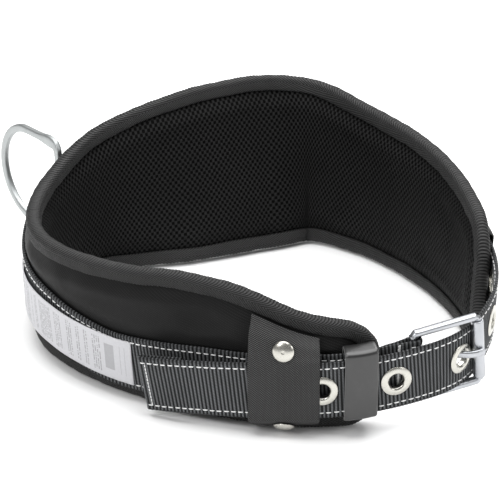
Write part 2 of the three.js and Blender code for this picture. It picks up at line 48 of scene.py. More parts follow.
beltLine = {
    # plan position, height of the belt's centre line, outward lean in degrees
    "loop": [
        (114, -268, 47, 2), (70, -280, 43, 2), (28, -281, 40, 2), (-30, -266, 35, 4), (-85, -237, 29, 6),
        (-130, -199, 28, 6), (-156, -158, 30, 4), (-163, -113, 37, 2), (-153, -64, 47, 2), (-121, -26, 55, 6),
        (-52, -2, 60, 13), (8, 22, 63, 14), (48, 33, 63, 12), (96, 0, 62, 5), (140, -55, 61, 4),
        (165, -112, 59, 3), (175, -166, 56, 3), (170, -212, 53, 3), (152, -246, 49, 2)],
    "arcSteps": 1900,
    "nudge": 0.0015,
    "heelOut": 2.95,
    "heelUp": -0.6,
}
loopPoints = np.array(beltLine["loop"], float)


def splineAt(points, t, centripetal=True):
    n = len(points)
    p = t * n
    i = np.floor(p).astype(int)
    w = (p - i)[:, None]
    a, b, c, d = (points[(i + k) % n] for k in (-1, 0, 1, 2))
    if centripetal:
        d0, d1, d2 = (np.sqrt(np.linalg.norm(v - u, axis=1))[:, None] for u, v in ((a, b), (b, c), (c, d)))
        m1 = ((b - a) / d0 - (c - a) / (d0 + d1) + (c - b) / d1) * d1
        m2 = ((c - b) / d1 - (d - b) / (d1 + d2) + (d - c) / d2) * d1
    else:
        m1, m2 = 0.5 * (c - a), 0.5 * (d - b)
    return b + m1 * w + (3 * (c - b) - 2 * m1 - m2) * w**2 + (2 * (b - c) + m1 + m2) * w**3


arcTimes = np.arange(beltLine["arcSteps"] + 1) / beltLine["arcSteps"]
arcPoints = splineAt(loopPoints[:, :2], arcTimes % 1)
arcLengths = np.concatenate([[0], np.cumsum(np.linalg.norm(np.diff(arcPoints, axis=0), axis=1))])
loopLength = arcLengths[-1]


def beltFrame(s):
    t = np.interp(np.mod(s, loopLength), arcLengths, arcTimes) % 1
    plan = splineAt(loopPoints[:, :2], t)
    rise = splineAt(loopPoints[:, 2:], t, centripetal=False)
    nudge = beltLine["nudge"]
    run = splineAt(loopPoints[:, :2], (t + nudge) % 1) - splineAt(loopPoints[:, :2], (t - nudge) % 1)
    run /= np.linalg.norm(run, axis=1)[:, None]
    lean = np.radians(rise[:, 1])
    level = np.stack([-run[:, 1], run[:, 0], 0 * lean], axis=1)
    upright = np.array([[0, 0, 1.0]])
    origin = np.column_stack([plan, rise[:, 0]])
    out = level * np.cos(lean)[:, None] - upright * np.sin(lean)[:, None]
    up = level * np.sin(lean)[:, None] + upright * np.cos(lean)[:, None]
    return origin, out, up, np.column_stack([run, 0 * lean])


def placeRaw(s, out, up):
    s, out, up = np.broadcast_arrays(np.asarray(s, float), out, up)
    origin, outward, upward, _ = beltFrame(s.ravel())
    points = origin + outward * out.ravel()[:, None] + upward * up.ravel()[:, None]
    return points.reshape(s.shape + (3,))


heelPoint = np.array(joints["tongue_swing"]["pos_m"]) / mm
shift = heelPoint - placeRaw(0.0, beltLine["heelOut"], beltLine["heelUp"]).reshape(3)


def place(s, out, up):
    return placeRaw(s, out, up) + shift


def readTable(table, s, ease=8.0):
    at, value = np.array(table, float).T
    s = np.asarray(s, float)
    return sum(np.interp(s + k * ease, at, value) for k in (-1, -0.5, 0, 0.5, 1)) / 5


def unit(v):
    return v / np.linalg.norm(v, axis=-1, keepdims=True)


# Mesh building

def volumeOf(points, faces):
    total = 0.0
    for quad in (faces[:, [0, 1, 2]], faces[:, [0, 2, 3]]):
        a, b, c = (points[quad[:, k]] for k in range(3))
        total += np.einsum("ij,ij->i", a, np.cross(b, c)).sum()
    return total


# A closed shell from two equal grids of points; cells that are not kept leave walled holes.
def slab(front, back, keep=None, loopRows=False):
    rows, cols = front.shape[:2]
    cellRows, cellCols = rows - (not loopRows), cols - 1
    keep = np.ones((cellRows, cellCols), bool) if keep is None else keep
    i, j = np.meshgrid(np.arange(cellRows), np.arange(cellCols), indexing="ij")

    def corner(a, b):
        return (a % rows) * cols + b

    ring = [corner(i, j), corner(i + 1, j), corner(i + 1, j + 1), corner(i, j + 1)]
    far = rows * cols
    faces = [np.stack([c[keep] for c in ring], 1), np.stack([c[keep] + far for c in ring[::-1]], 1)]
    padded = np.zeros((cellRows + 2, cellCols + 2), bool)
    padded[1:-1, 1:-1] = keep
    if loopRows:
        padded[0, 1:-1], padded[-1, 1:-1] = keep[-1], keep[0]
    for di, dj, p, q in ((0, -1, 0, 1), (1, 0, 1, 2), (0, 1, 2, 3), (-1, 0, 3, 0)):
        near = padded[1 + di:1 + di + cellRows, 1 + dj:1 + dj + cellCols]
        bare = keep & ~near
        if bare.any():
            a, b = ring[p][bare], ring[q][bare]
            faces.append(np.stack([b, a, a + far, b + far], 1))
    points = np.concatenate([front.reshape(-1, 3), back.reshape(-1, 3)])
    faces = np.concatenate(faces)
    if volumeOf(points, faces) < 0:
        faces = faces[:, ::-1]
    return points, faces


# Rings of points joined into a tube; open tubes get flat caps.
def tube(rings, loop=False):
    count, n = rings.shape[:2]
    steps = count if loop else count - 1
    i, j = np.meshgrid(np.arange(steps), np.arange(n), indexing="ij")

    def corner(a, b):
        return (a % count) * n + b % n

    ring = [corner(i, j), corner(i + 1, j), corner(i + 1, j + 1), corner(i, j + 1)]
    faces = np.stack(ring, -1).reshape(-1, 4)
    points = rings.reshape(-1, 3)
    middle = points.mean(0)
    flip = volumeOf(points - middle, faces) < 0
    faces = [face[::-1] if flip else face for face in faces.tolist()]
    if not loop:
        first, last = list(range(n))[::-1], [(count - 1) * n + k for k in range(n)]
        faces += [first[::-1], last[::-1]] if flip else [first, last]
    return points, faces


# A section of the given half sizes carried along a path; power 2 is an ellipse, more is a rounded bar.
def sweep(path, side, lift, halfSide, halfLift, segments=20, power=2.0, loop=False):
    a = np.arange(segments) * 2 * np.pi / segments
    c, d = (np.sign(q) * np.abs(q) ** (2 / power) for q in (np.cos(a), np.sin(a)))
    halfSide, halfLift = (np.broadcast_to(h, len(path))[:, None, None] for h in (halfSide, halfLift))
    sideways = side[:, None] * c[None, :, None] * halfSide
    upward = lift[:, None] * d[None, :, None] * halfLift
    return tube(path[:, None] + sideways + upward, loop)


# A turned piece: a closed profile of (radius, height) round an axis.
def lathe(profile, at, axis, segments=56):
    axis = unit(np.asarray(axis, float))
    side = unit(np.cross(axis, [0.13, 0.21, 0.97]))
    other = np.cross(axis, side)
    a = np.arange(segments) * 2 * np.pi / segments
    spoke = side * np.cos(a)[:, None] + other * np.sin(a)[:, None]
    radius, height = np.array(profile, float).T
    rings = np.asarray(at) + spoke[:, None] * radius[None, :, None] + axis * height[None, :, None]
    return tube(rings, loop=True)


# A smooth line through control points, at even steps; extra columns ride along.
def resample(points, step, loop=False):
    points = np.asarray(points, float)
    n = len(points)
    spans = n if loop else n - 1
    t = np.arange(spans * 10 + 1) / 10
    i = np.minimum(t.astype(int), spans - 1)
    w = (t - i)[:, None]
    pick = (lambda k: points[k % n]) if loop else (lambda k: points[np.clip(k, 0, n - 1)])
    a, b, c, d = (pick(i + k) for k in (-1, 0, 1, 2))
    fine = 0.5 * (2 * b + (c - a) * w + (2 * a - 5 * b + 4 * c - d) * w**2 + (3 * b - a - 3 * c + d) * w**3)
    gaps = np.linalg.norm(np.diff(fine[:, :3], axis=0), axis=1)
    length = np.concatenate([[0], np.cumsum(gaps)])
    count = max(int(round(length[-1] / step)), 4)
    at = np.linspace(0, length[-1], count + 1)
    even = np.stack([np.interp(at, length, fine[:, k]) for k in range(fine.shape[1])], 1)
    return (even[:-1] if loop else even), at


# A mesh that rides on its body; spots hold each point's place along, across and side, for the weaves.
def makePiece(name, built, look, body, nodes=(), spots=None):
    points, faces = built
    mesh = bpy.data.meshes.new(name)
    mesh.from_pydata((points * mm).tolist(), [], faces if isinstance(faces, list) else faces.tolist())
    if spots is not None:
        attribute = mesh.attributes.new("spot", "FLOAT_VECTOR", "POINT")
        attribute.data.foreach_set("vector", spots.astype(np.float32).ravel())
    mesh.shade_smooth()
    mesh.materials.append(look)
    piece = bpy.data.objects.new(name, mesh)
    bpy.context.scene.collection.objects.link(piece)
    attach(piece, body)
    if nodes:
        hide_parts(*nodes)
    return piece


def spotGrid(along, across, side=1.0):
    along, across = np.broadcast_arrays(along, across)
    front = np.stack([along, across, np.full(along.shape, side)], -1).reshape(-1, 3)
    back = front * [1, 1, -1]
    return np.concatenate([front, back])


# Smooth, repeatable unevenness, about -1 to 1.
def drift(x, y=0.0, seed=0):
    x, y = np.asarray(x, float), np.asarray(y, float)
    total = 0.0
    for k in range(4):
        a = 1.7 * seed + 2.4 * k
        along = np.sin(x * (0.9 + 0.63 * k) + 1.3 * y * np.cos(a) + 3 * a)
        total = total + along * np.cos(y * (0.7 + 0.41 * k) + a)
    return total / 2.6


# Shader maths

# A socket that takes part in sums; each sum adds a Math node.
class Wire:
    def __init__(self, look, socket):
        self.look, self.socket = look, socket

    def join(self, operation, other=None, swap=False):
        values = {0: self} if other is None else {0: other, 1: self} if swap else {0: self, 1: other}
        return self.look.node("ShaderNodeMath", {"operation": operation}, values)

    def __add__(self, other):
        return self.join("ADD", other)

    def __radd__(self, other):
        return self.join("ADD", other, True)

    def __sub__(self, other):
        return self.join("SUBTRACT", other)

    def __rsub__(self, other):
        return self.join("SUBTRACT", other, True)

    def __mul__(self, other):
        return self.join("MULTIPLY", other)

    def __rmul__(self, other):
        return self.join("MULTIPLY", other, True)

    def __pow__(self, other):
        return self.join("POWER", other)

    def __gt__(self, other):
        return self.join("GREATER_THAN", other)


class Look:
    def __init__(self, name):
        self.material = bpy.data.materials.new(name)
        self.material.use_nodes = True
        self.tree = self.material.node_tree
        self.tree.nodes.clear()

    # Settings come first, then a value or a link for each socket, by name or number.
    def node(self, kind, settings=None, values=None, output=0):
        made = self.tree.nodes.new(kind)
        for key, value in (settings or {}).items():
            setattr(made, key, value)
        for key, value in (values or {}).items():
            if isinstance(value, Wire):
                self.tree.links.new(value.socket, made.inputs[key])
            else:
                made.inputs[key].default_value = value
        return Wire(self, made.outputs[output] if len(made.outputs) else None)

    def spot(self):
        split = self.node("ShaderNodeAttribute", {"attribute_name": "spot"}, output="Vector")
        return [self.node("ShaderNodeSeparateXYZ", values={0: split}, output=k) for k in range(3)]

    def place(self):
        return self.node("ShaderNodeTexCoord", output="Object")

    def noise(self, scale, detail=3.0, vector=None, rough=0.5):
        values = {"Scale": scale, "Detail": detail, "Roughness": rough, "Vector": vector or self.place()}
        return self.node("ShaderNodeTexNoise", values=values)

    def vector(self, x, y, z=0.0):
        return self.node("ShaderNodeCombineXYZ", values={0: x, 1: y, 2: z})

    def mix(self, factor, a, b):
        return self.node("ShaderNodeMix", {"data_type": "RGBA"}, {0: factor, 6: a, 7: b}, output=2)

    def ramp(self, value, low, high):
        values = {"Value": value, "From Min": low, "From Max": high}
        return self.node("ShaderNodeMapRange", values=values)

    def bump(self, height, distance, strength=1.0):
        values = {"Height": height, "Distance": distance * mm, "Strength": strength}
        return self.node("ShaderNodeBump", values=values)

    def finish(self, values):
        shader = self.node("ShaderNodeBsdfPrincipled", values=values)
        self.node("ShaderNodeOutputMaterial", values={"Surface": shader})
        return self.material


def wave(value, pitch, phase=0.0):
    return (value * (2 * math.pi / pitch) + phase).join("SINE") * 0.5 + 0.5


def grey(level, warm=0.0):
    return (level * (1 + warm), level, level * (1 - warm), 1)


# Finishes

def fabricLook(name, dark, light, height, depth, rough=0.8, sheen=0.0, grain=0.35, gloss=0.15):
    look = Look(name)
    # The weave's mask lightens the raised yarn and darkens the hollows: partly the weave's own tone, partly a
    # painted highlight on the crests and painted shade in the hollows
    weaveWithPaintedLight, bumpHeight = height(look)
    patches = look.noise(26, 3) * 0.5 + 0.75
    colour = look.mix(weaveWithPaintedLight * patches, dark, light)
    fuzz = look.noise(2600, 2)
    normal = look.bump(bumpHeight + fuzz * grain, depth)
    return look.finish({
        "Base Color": colour, "Roughness": look.noise(300, 2) * 0.12 + (rough - 0.06), "Normal": normal,
        "Sheen Weight": sheen, "Sheen Roughness": 0.4, "Specular IOR Level": gloss})


ribPitch = 2.8


def webbingWeave(look):
    s, w, _ = look.spot()
    rib = wave(s, ribPitch, math.pi / 2)
    yarn = wave(w + s * 0.35, 1.25)
    edge = 1 - look.ramp(w.join("ABSOLUTE"), 19.6, 21.6) * 0.45
    # Colour mask: the ribs' crests light grey and the valleys near black, a painted highlight on the crests
    # and painted shade in the valleys; darker towards the edges
    return rib**1.4 * (yarn * 0.5 + 0.5) * edge, rib * 0.6 + yarn * 0.5


def shellWeave(look):
    s, w, _ = look.spot()
    twill = wave(s + w * 0.9, 1.7) * wave(s * 0.5 - w, 1.9)
    wear = look.noise(9, 4)
    return twill * 0.75 + wear * 0.25, twill


meshHole = {"along": 4.0, "up": 5.2}


def liningWeave(look):
    s, w, _ = look.spot()
    x = (s * (2 * math.pi / meshHole["along"])).join("SINE")
    y = (w * (2 * math.pi / meshHole["up"])).join("SINE")
    cell = x * y * 0.5 + 0.5
    thread = look.ramp(cell, 0.30, 0.62)
    yarn = wave(s * 0.6 + w, 0.9)
    # Colour mask: threads lighter and the cells between them near black, a painted highlight on the threads
    # and painted shade in the holes
    return thread * (yarn * 0.45 + 0.55), thread * 2.2 + yarn * 0.35


tapePitch = 2.5


def tapeWeave(look):
    along, q, _ = look.spot()
    fold = (q.join("ABSOLUTE") - 5.2).join("ABSOLUTE")
    rib = wave(along + fold * 1.35, tapePitch)
    yarn = wave(along - fold * 0.7, 0.9)
    # Colour mask: ribs lighter and the grooves between them near black, a painted highlight on the ribs and
    # painted shade in the grooves
    return rib * (yarn * 0.5 + 0.5), rib + yarn * 0.35


def wrapWeave(look):
    s, w, _ = look.spot()
    dots = wave(s, 1.55) * wave(w, 1.25)
    stagger = wave(s, 1.55, math.pi) * wave(w, 1.25, math.pi)
    weave = dots.join("MAXIMUM", stagger)
    # Colour mask: the woven dots lighter on the dark weave, painted highlights on the dots
    return weave**2.2, weave


webbingLook = fabricLook(
    "webbing", grey(0.004, -0.03), grey(0.17, -0.04), webbingWeave, 0.22, rough=0.7, sheen=0.05)
shellLook = fabricLook(
    "coatedNylon", grey(0.0015), grey(0.02), shellWeave, 0.07, rough=0.55, grain=0.12, gloss=0.12)
liningLook = fabricLook(
    "spacerMesh", grey(0.0004), grey(0.022), liningWeave, 0.35, rough=0.55, gloss=0.05)
tapeLook = fabricLook(
    "bindingTape", grey(0.001), grey(0.055), tapeWeave, 0.32, rough=0.5, grain=0.2, gloss=0.22)
wrapLook = fabricLook(
    "ballisticNylon", grey(0.0015), grey(0.15), wrapWeave, 0.18, rough=0.55, grain=0.15, gloss=0.1)


def threadLook():
    look = Look("whiteThread")
    twist = look.noise(1800, 2)
    colour = look.mix(twist, grey(0.55), grey(0.88))
    normal = look.bump(twist, 0.1)
    return look.finish({"Base Color": colour, "Roughness": twist * 0.1 + 0.55, "Normal": normal})


def leatherLook():
    look = Look("keeperLeather")
    values = {"Vector": look.place(), "Scale": 900}
    grain = look.node("ShaderNodeTexVoronoi", {"feature": "DISTANCE_TO_EDGE"}, values)
    pores = look.noise(1500, 4)
    _, _, side = look.spot()
    cutEdge = look.ramp(side, 0.55, 0.85)
    scuffs = look.ramp(look.noise(60, 6, rough=0.7), 0.5, 0.75)
    colour = look.mix(cutEdge, look.mix(scuffs, grey(0.016), grey(0.026)), grey(0.12))
    return look.finish({
        "Base Color": colour, "Roughness": pores * 0.12 + 0.26 + cutEdge * 0.3,
        "Normal": look.bump(grain * 0.5 + pores * 0.6, 0.04), "Specular IOR Level": 0.7})


labelSet = {
    "line": 1.9, "group": 0.31, "margin": 14.5, "textFrom": 232.0, "ink": 0.5,
    "block": {"along": (221.0, 229.0), "across": (-10.0, 11.0), "ink": 0.7},
    "rules": {"along": (208.0, 218.0), "reach": 12.0, "perMm": 0.25, "gap": 0.88, "ink": 0.6},
}


def between(value, low, high):
    return (value > low) * (high - value > 0.0)


# Bars of uneven length stand for the printed lines, across the strap, in groups.
def labelLook():
    look = Look("labelCloth")
    s, w, side = look.spot()
    row = s * (1 / labelSet["line"])
    line = row.join("FLOOR")
    words = look.node("ShaderNodeTexNoise", {"noise_dimensions": "2D"}, {
        "Scale": 1.0, "Detail": 1.0, "Vector": look.vector(w * 0.8, line * 7.31)})
    group = look.node("ShaderNodeTexNoise", {"noise_dimensions": "1D"}, {
        "Scale": 1.0, "Detail": 0.0, "W": line * labelSet["group"]})
    fromMiddle = w.join("ABSOLUTE")
    bars = (row.join("FRACT") > 0.5) * (words > 0.44) * (group > 0.46)
    bars = bars * (labelSet["margin"] - fromMiddle > 0.0) * (s > labelSet["textFrom"])
    shape = labelSet["block"]
    block = between(s, *shape["along"]) * between(w, *shape["across"]) * shape["ink"]
    shape = labelSet["rules"]
    rules = between(s, *shape["along"]) * ((s * shape["perMm"]).join("FRACT") > shape["gap"])
    rules = rules * (shape["reach"] - fromMiddle > 0.0) * shape["ink"]
    ink = bars.join("MAXIMUM", block).join("MAXIMUM", rules) * (side > 0.0)
    cloth = look.noise(700, 3)
    plain = look.mix(cloth, (0.46, 0.46, 0.48, 1), (0.55, 0.55, 0.57, 1))
    colour = look.mix(ink * labelSet["ink"], plain, grey(0.06))
    creases = look.noise(28, 3)
    return look.finish({
        "Base Color": colour, "Roughness": cloth * 0.15 + 0.5,
        "Normal": look.bump(creases * 3 + cloth * 0.2, 0.3)})


def metalLook(name, bright, dull, rough, brushed=0.0):
    look = Look(name)
    smudge = look.noise(70, 5, rough=0.65)
    fine = look.noise(1900, 2)
    pits = look.ramp(look.noise(420, 4, rough=0.7), 0.62, 0.8)
    colour = look.mix(smudge * 0.6 + pits * 0.4, bright, dull)
    return look.finish({
        "Base Color": colour, "Metallic": 1.0, "Roughness": smudge * 0.14 + pits * 0.15 + rough,
        "Normal": look.bump(fine * brushed + smudge * 0.6 - pits, 0.05, 0.5)})


nickelLook = metalLook("nickelPlate", (0.55, 0.54, 0.50, 1), (0.36, 0.35, 0.31, 1), 0.2)
zincLook = metalLook("zincPlate", (0.44, 0.45, 0.47, 1), (0.30, 0.31, 0.33, 1), 0.24, 0.4)
ringLook = metalLook("forgedZinc", (0.42, 0.44, 0.44, 1), (0.32, 0.33, 0.33, 1), 0.42, 0.5)
leather = leatherLook()
thread = threadLook()
print("finishes ready")

# Pad: shell outside, mesh lining inside, both swelled from the foam's shape

pad = {
    "start": 22, "end": 890, "mid": -7.0, "full": 5.4, "skin": 1.4,
    "top": [
        (0, 35), (30, 43), (60, 51), (82, 63), (105, 74), (150, 82), (215, 78), (300, 68), (385, 50),
        (415, 52), (445, 58), (480, 66), (520, 72), (585, 71), (622, 63), (655, 59), (720, 56), (790, 50),
        (868, 40)],
    "tipRound": 27, "endRound": 32, "inset": 4.6, "lap": 11.5, "rise": 12.0, "ridge": 0.8, "ridgeAt": 21.0,
    "shellStep": 1.9, "liningStep": 1.0, "relief": 0.32,
    "swell": {
        "step": 5.5, "frames": 18, "pressure": 3.0, "growth": -0.03, "mass": 0.15, "stretch": 12,
        "bend": 0.15, "shear": 4, "smoothings": 3, "cap": 2.0},
}


def bottomAt(s):
    origin, _, up, _ = beltFrame(np.ravel(s))
    return (-origin[:, 2] / up[:, 2]).reshape(np.shape(s))


def rounding(s, inset):
    def drop(d, r):
        return np.where(d >= r, 0, r - np.sqrt(np.maximum(r * r - (r - d) ** 2, 0)))
    return inset + drop(s - pad["start"] - inset, pad["tipRound"] - inset) \
        + drop(pad["end"] - s - inset, pad["endRound"] - inset)


def edgeTop(s, inset=0.0):
    return readTable(pad["top"], s - pad["start"], 14) - rounding(s, inset)


def edgeBottom(s, inset=0.0):
    return bottomAt(s) + rounding(s, inset)


def alongPad(inset, step, turns=10):
    a = np.linspace(0, math.pi / 2, turns)
    near = pad["start"] + inset + (pad["tipRound"] - inset) * (1 - np.cos(a))
    far = pad["end"] - inset - (pad["endRound"] - inset) * (1 - np.cos(a))
    count = int((far[-1] - near[-1]) / step)
    return np.concatenate([near, np.linspace(near[-1], far[-1], count + 1)[1:-1], far[::-1]])


def padOutline(step):
    s = alongPad(0, step, 24)
    top = np.stack([s, edgeTop(s)], 1)
    low = np.stack([s, edgeBottom(s)], 1)[::-1]
    loop = np.concatenate([top, low, top[:1]])
    length = np.concatenate([[0], np.cumsum(np.linalg.norm(np.diff(loop, axis=0), axis=1))])
    at = np.linspace(0, length[-1], int(length[-1] / step) + 1)[:-1]
    return np.stack([np.interp(at, length, loop[:, k]) for k in range(2)], 1), at


def edgeDistance(s, u):
    line, _ = padOutline(14)
    a, b = line, np.roll(line, -1, axis=0)
    best = np.full(s.size, 1e9)
    p = np.stack([s.ravel(), u.ravel()], 1)
    for start, end in zip(a, b):
        run = end - start
        t = np.clip(((p - start) @ run) / (run @ run), 0, 1)
        best = np.minimum(best, np.hypot(*(p - start - t[:, None] * run).T))
    return best.reshape(s.shape)


def padHalf(d):
    pinch = 1.5 + 0.05 * np.clip(d - 4, 0, pad["lap"] - 4)
    t = np.clip((d - pad["lap"]) / pad["rise"], 0, 1)
    full = pinch + (pad["full"] - pinch) * np.sin(t * math.pi / 2)
    return full + pad["ridge"] * t * np.exp(-(((d - pad["ridgeAt"]) / 6) ** 2))


def padGrid(step):
    s = alongPad(pad["inset"], step)
    v = np.linspace(0, 1, int(118 / step) + 1)[None, :]
    low, high = edgeBottom(s, pad["inset"])[:, None], edgeTop(s, pad["inset"])[:, None]
    u = low + (high - low) * v
    s = np.broadcast_to(s[:, None], u.shape)
    return s, u, edgeDistance(s, u)


# Cloth over the foam: the pad is laid flat, blown up a little, and the change in height is kept.
def swellPad():
    swell = pad["swell"]
    s, u, d = padGrid(swell["step"])
    half = padHalf(d)
    front, back = np.stack([s, u, half], -1), np.stack([s, u, -half], -1)
    points, faces = slab(front, back)
    mesh = bpy.data.meshes.new("flatPad")
    mesh.from_pydata((points * mm).tolist(), [], faces.tolist())
    cloth = bpy.data.objects.new("flatPad", mesh)
    bpy.context.scene.collection.objects.link(cloth)
    group = cloth.vertex_groups.new(name="held")
    held = np.clip(1.15 - (d - pad["lap"]) / 5, 0, 1).ravel()
    for k, weight in enumerate(np.concatenate([held, held]).tolist()):
        group.add([k], weight, "REPLACE")
    modifier = cloth.modifiers.new("cloth", "CLOTH")
    rules = modifier.settings
    rules.quality, rules.mass = 6, swell["mass"]
    rules.tension_stiffness = rules.compression_stiffness = swell["stretch"]
    rules.bending_stiffness, rules.shear_stiffness = swell["bend"], swell["shear"]
    rules.vertex_group_mass, rules.pin_stiffness = "held", 1.0
    rules.shrink_min = swell["growth"]
    rules.use_pressure, rules.uniform_pressure_force = True, swell["pressure"]
    rules.effector_weights.gravity = 0
    scene = bpy.context.scene
    for frameNumber in range(1, swell["frames"] + 1):
        scene.frame_set(frameNumber)
    settled = cloth.evaluated_get(bpy.context.evaluated_depsgraph_get())
    moved = np.zeros(len(points) * 3)
    settled.data.vertices.foreach_get("co", moved)
    rise = (moved.reshape(-1, 3) / mm - points)[:, 2].reshape(2, *d.shape)
    scene.frame_set(1)
    bpy.data.objects.remove(cloth)
    for _ in range(swell["smoothings"]):
        soft = np.pad(rise, ((0, 0), (1, 1), (1, 1)), mode="edge")
        total = soft[:, 1:-1, 1:-1] * 2 + soft[:, :-2, 1:-1] + soft[:, 2:, 1:-1]
        rise = (total + soft[:, 1:-1, :-2] + soft[:, 1:-1, 2:]) / 6
    cap = swell["cap"]
    print("pad swelled by", rise[0].max().round(2), (-rise[1]).max().round(2), "mm before the cap")
    return cap * np.tanh(rise[0] / cap), cap * np.tanh(-rise[1] / cap)


def finer(field, rows, cols):
    across = np.linspace(0, field.shape[1] - 1, cols)
    along = np.linspace(0, field.shape[0] - 1, rows)
    wide = np.array([np.interp(across, np.arange(field.shape[1]), row) for row in field])
    return np.array([np.interp(along, np.arange(field.shape[0]), column) for column in wide.T]).T


def easeBetween(x, low, high):
    t = np.clip((x - low) / (high - low), 0, 1)
    return t * t * (3 - 2 * t)


# A swelled face closed by the pad's middle plane, which is straight from the lower edge to the upper.
def paddedHalf(face, s, u, out):
    rows, cols = face.shape[:2]
    n = rows * cols
    plane = place(s[:, [0, -1]], out, u[:, [0, -1]]).reshape(-1, 3)
    points = np.concatenate([face.reshape(-1, 3), plane])
    i, j = np.meshgrid(np.arange(rows - 1), np.arange(cols - 1), indexing="ij")
    k = (i * cols + j).ravel()
    quads = [np.stack([k, k + cols, k + cols + 1, k + 1], 1)]
    r = np.arange(rows - 1)
    low, high = n + 2 * r, n + 2 * r + 1
    quads.append(np.stack([low, high, high + 2, low + 2], 1))
    quads.append(np.stack([r * cols, low, low + 2, (r + 1) * cols], 1))
    edge = r * cols + cols - 1
    quads.append(np.stack([edge, edge + cols, high + 2, high], 1))
    faces = np.concatenate(quads)
    flip = volumeOf(points - points.mean(0), faces) < 0
    nearCap = list(range(cols)) + [n + 1, n]
    farCap = [n + 2 * rows - 2, n + 2 * rows - 1] + list(range(n - 1, n - cols - 1, -1))
    faces = faces.tolist() + [nearCap, farCap]
    return points, ([face[::-1] for face in faces] if flip else faces)


strap = {
    "width": 44.45, "thick": 2.4, "step": 0.47, "fold": 4.1, "tip": 190, "relief": 0.34,
    "out": [
        (14, 1.7), (22, 2.6), (28, 4.3), (60, 4.3), (72, 1.7), (406, 1.7), (420, 4.8), (423.5, 8.9),
        (430, 9.8), (451, 9.8), (457, 8.9), (462, 4.8), (476, 1.7)],
    # the tables named End count from the end of the loop
    "outEnd": [
        (-80, 1.7), (-62, 2.2), (-50, 3.2), (-41, 5.2), (-33, 7.3), (-24, 9.3), (-12, 10.9), (0, 10.9),
        (110, 10.9), (146, 12.2), (190, 15.5)],
    "up": [
        (14, 0), (104, 0), (150, 3.5), (225, 3.5), (255, 8), (290, 14), (330, 16.5), (385, 13), (432, 11.7),
        (456, 11.7), (540, 5), (592, 0)],
    "upEnd": [(-60, -1.2), (-25, -1.7), (12, -3), (50, -2.5), (100, -1.2), (190, -1.5)],
    "twistEnd": [(112, 0), (190, 2)],
}
for key in ("out", "up", "twist"):
    strap[key] = strap.get(key, []) + [(loopLength + d, value) for d, value in strap[key + "End"]]


def strapAt(s):
    s = np.atleast_1d(np.asarray(s, float))
    origin, out, up, _ = beltFrame(s)
    twist = np.radians(readTable(strap["twist"], s, 6))[:, None]
    at = place(s, readTable(strap["out"], s, 3), readTable(strap["up"], s, 10))
    return at, up * np.cos(twist) + out * np.sin(twist)


def onStrap(s):
    at, up = (q[0] for q in strapAt(s))
    run = unit(strapAt(s + 2)[0][0] - strapAt(s - 2)[0][0])
    across = unit(up - run * (up @ run))
    return at, run, across, np.cross(across, run)


def makePad():
    shellRise, liningRise = swellPad()
    s, u, d = padGrid(pad["shellStep"])
    rise = finer(shellRise, *d.shape) + 0.25 * drift(s / 34, u / 16, 2)
    nearStrap = 1 - easeBetween(np.abs(u - readTable(strap["up"], s, 10)), 22, 36)
    nearWrap = easeBetween(s, 60, 72) * (1 - easeBetween(s, 117, 128)) * (u > -34)
    pressed = np.maximum(nearStrap, nearWrap)
    rise = np.where(rise > 0, rise * (1 - pressed), rise) * easeBetween(d, 11, 16)
    out = np.minimum(pad["mid"] + padHalf(d) + pad["skin"] + rise, 2.6 - 2.55 * pressed)
    spots = np.stack([s, u, np.ones_like(s)], -1).reshape(-1, 3)
    rim = np.zeros((2 * len(s), 3))
    shell = makePiece(
        "padShell", paddedHalf(place(s, out, u), s, u, pad["mid"] + 0.2), shellLook, "belt",
        ["pad_shell", "pad_foam"], np.concatenate([spots, rim]))
    s, u, d = padGrid(pad["liningStep"])
    cell = np.sin(2 * np.pi * s / meshHole["along"]) * np.sin(2 * np.pi * u / meshHole["up"])
    rise = finer(liningRise, *d.shape) + 0.2 * drift(s / 40, u / 18, 5)
    rise = (rise + pad["relief"] * np.clip(cell, -0.6, 0.35)) * easeBetween(d, 11, 15)
    out = pad["mid"] - padHalf(d) - pad["skin"] - rise
    spots = np.stack([s, u, np.ones_like(s)], -1).reshape(-1, 3)
    rim = np.zeros((2 * len(s), 3))
    lining = makePiece(
        "padLining", paddedHalf(place(s, out, u), s, u, pad["mid"] - 0.2), liningLook, "belt",
        ["pad_lining"], np.concatenate([spots, rim]))
    print("pad made")


makePad()

binding = {
    "step": 0.6, "thick": 1.25, "face": 2.2, "crest": 3.4, "core": 1.9, "columns": 13, "relief": 0.34,
    "pucker": 0.3, "midTape": 5.2, "slant": 1.35,
}


